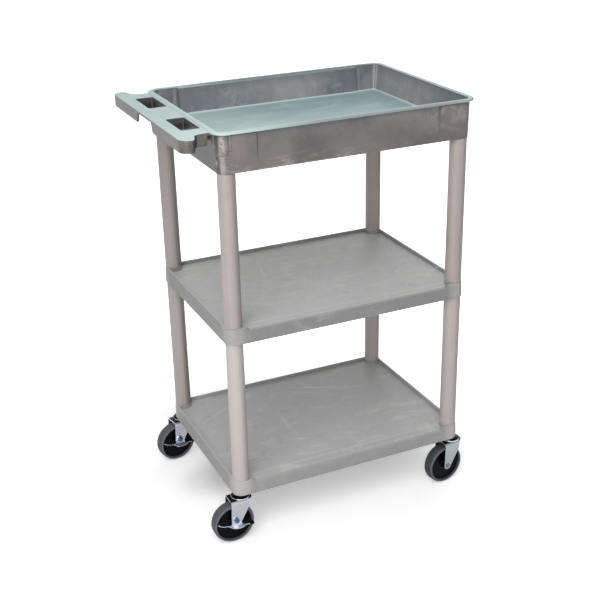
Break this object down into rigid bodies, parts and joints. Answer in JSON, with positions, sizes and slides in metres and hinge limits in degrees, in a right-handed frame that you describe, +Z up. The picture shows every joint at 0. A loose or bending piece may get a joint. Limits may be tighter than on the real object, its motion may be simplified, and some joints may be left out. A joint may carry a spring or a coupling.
{
  "type": "three shelf utility cart",
  "caption": "Wheeled utility cart: deep moulded tub with a push handle over two flat lipped shelves, joined by tube legs, on swivel casters with side brakes.",
  "frame": {"origin": "on the floor under the centre of the bounding box", "axes": "+Z up; X along the long side with the push handle at -X; Y across the short side"},
  "size_m": [0.7078, 0.485, 0.9932],
  "materials": {
    "tub_plastic": "satin moulded plastic with faint swirl streaks",
    "shelf_plastic": "matt structural foam plastic with faint swirl streaks",
    "leg_plastic": "smooth satin plastic tube",
    "zinc_plate": "bright zinc plated pressed steel",
    "lever_zinc": "bright zinc plated strip",
    "bearing_black": "matt black seal",
    "hub_black": "gloss black moulded wheel centre",
    "tyre_grey": "soft grey non-marking tyre",
    "tip_black": "matt black rubber"
  },
  "bodies": {
    "cart_frame": {"tub_shelf": "tub_plastic", "middle_shelf": "shelf_plastic", "bottom_shelf": "shelf_plastic", "leg_lower_front_left": "leg_plastic", "leg_lower_front_right": "leg_plastic", "leg_lower_rear_left": "leg_plastic", "leg_lower_rear_right": "leg_plastic", "leg_upper_front_left": "leg_plastic", "leg_upper_front_right": "leg_plastic", "leg_upper_rear_left": "leg_plastic", "leg_upper_rear_right": "leg_plastic", "caster_stem_front_left": "zinc_plate", "caster_race_front_left": "zinc_plate", "caster_bearing_front_left": "bearing_black", "caster_stem_front_right": "zinc_plate", "caster_race_front_right": "zinc_plate", "caster_bearing_front_right": "bearing_black", "caster_stem_rear_left": "zinc_plate", "caster_race_rear_left": "zinc_plate", "caster_bearing_rear_left": "bearing_black", "caster_stem_rear_right": "zinc_plate", "caster_race_rear_right": "zinc_plate", "caster_bearing_rear_right": "bearing_black"},
    "fork_front_left": {"caster_fork_front_left": "zinc_plate", "axle_bolt_front_left": "zinc_plate", "axle_bush_front_left": "zinc_plate", "axle_nut_front_left": "zinc_plate", "brake_bolt_front_left": "lever_zinc", "brake_nut_front_left": "lever_zinc"},
    "wheel_front_left": {"tyre_front_left": "tyre_grey", "wheel_hub_front_left": "hub_black"},
    "brake_front_left": {"brake_lever_front_left": "lever_zinc", "brake_tip_front_left": "tip_black"},
    "fork_front_right": {"caster_fork_front_right": "zinc_plate", "axle_bolt_front_right": "zinc_plate", "axle_bush_front_right": "zinc_plate", "axle_nut_front_right": "zinc_plate"},
    "wheel_front_right": {"tyre_front_right": "tyre_grey", "wheel_hub_front_right": "hub_black"},
    "fork_rear_left": {"caster_fork_rear_left": "zinc_plate", "axle_bolt_rear_left": "zinc_plate", "axle_bush_rear_left": "zinc_plate", "axle_nut_rear_left": "zinc_plate", "brake_bolt_rear_left": "lever_zinc", "brake_nut_rear_left": "lever_zinc"},
    "wheel_rear_left": {"tyre_rear_left": "tyre_grey", "wheel_hub_rear_left": "hub_black"},
    "brake_rear_left": {"brake_lever_rear_left": "lever_zinc", "brake_tip_rear_left": "tip_black"},
    "fork_rear_right": {"caster_fork_rear_right": "zinc_plate", "axle_bolt_rear_right": "zinc_plate", "axle_bush_rear_right": "zinc_plate", "axle_nut_rear_right": "zinc_plate"},
    "wheel_rear_right": {"tyre_rear_right": "tyre_grey", "wheel_hub_rear_right": "hub_black"}
  },
  "joints": [
    {"name": "swivel_front_left", "type": "hinge", "parent": "cart_frame", "child": "fork_front_left", "pos_m": [-0.25427, -0.2072, 0.1143], "axis": [0, 0, 1], "continuous": true},
    {"name": "wheel_spin_front_left", "type": "hinge", "parent": "fork_front_left", "child": "wheel_front_left", "pos_m": [-0.27607, -0.2072, 0.0508], "axis": [0, 1, 0], "continuous": true},
    {"name": "brake_rock_front_left", "type": "hinge", "parent": "fork_front_left", "child": "brake_front_left", "pos_m": [-0.27407, -0.2285, 0.0655], "axis": [0, 1, 0], "range_deg": [0, 14]},
    {"name": "swivel_front_right", "type": "hinge", "parent": "cart_frame", "child": "fork_front_right", "pos_m": [0.32393, -0.2072, 0.1143], "axis": [0, 0, 1], "continuous": true},
    {"name": "wheel_spin_front_right", "type": "hinge", "parent": "fork_front_right", "child": "wheel_front_right", "pos_m": [0.30229, -0.20986, 0.0508], "axis": [-0.1219, 0.9925, 0], "continuous": true},
    {"name": "swivel_rear_left", "type": "hinge", "parent": "cart_frame", "child": "fork_rear_left", "pos_m": [-0.25427, 0.2072, 0.1143], "axis": [0, 0, 1], "continuous": true},
    {"name": "wheel_spin_rear_left", "type": "hinge", "parent": "fork_rear_left", "child": "wheel_rear_left", "pos_m": [-0.2758, 0.20379, 0.0508], "axis": [-0.1564, 0.9877, 0], "continuous": true},
    {"name": "brake_rock_rear_left", "type": "hinge", "parent": "fork_rear_left", "child": "brake_rear_left", "pos_m": [-0.27049, 0.18307, 0.0655], "axis": [-0.1564, 0.9877, 0], "range_deg": [0, 14]},
    {"name": "swivel_rear_right", "type": "hinge", "parent": "cart_frame", "child": "fork_rear_right", "pos_m": [0.32393, 0.2072, 0.1143], "axis": [0, 0, 1], "continuous": true},
    {"name": "wheel_spin_rear_right", "type": "hinge", "parent": "fork_rear_right", "child": "wheel_rear_right", "pos_m": [0.30213, 0.2072, 0.0508], "axis": [0, 1, 0], "continuous": true}
  ]
}
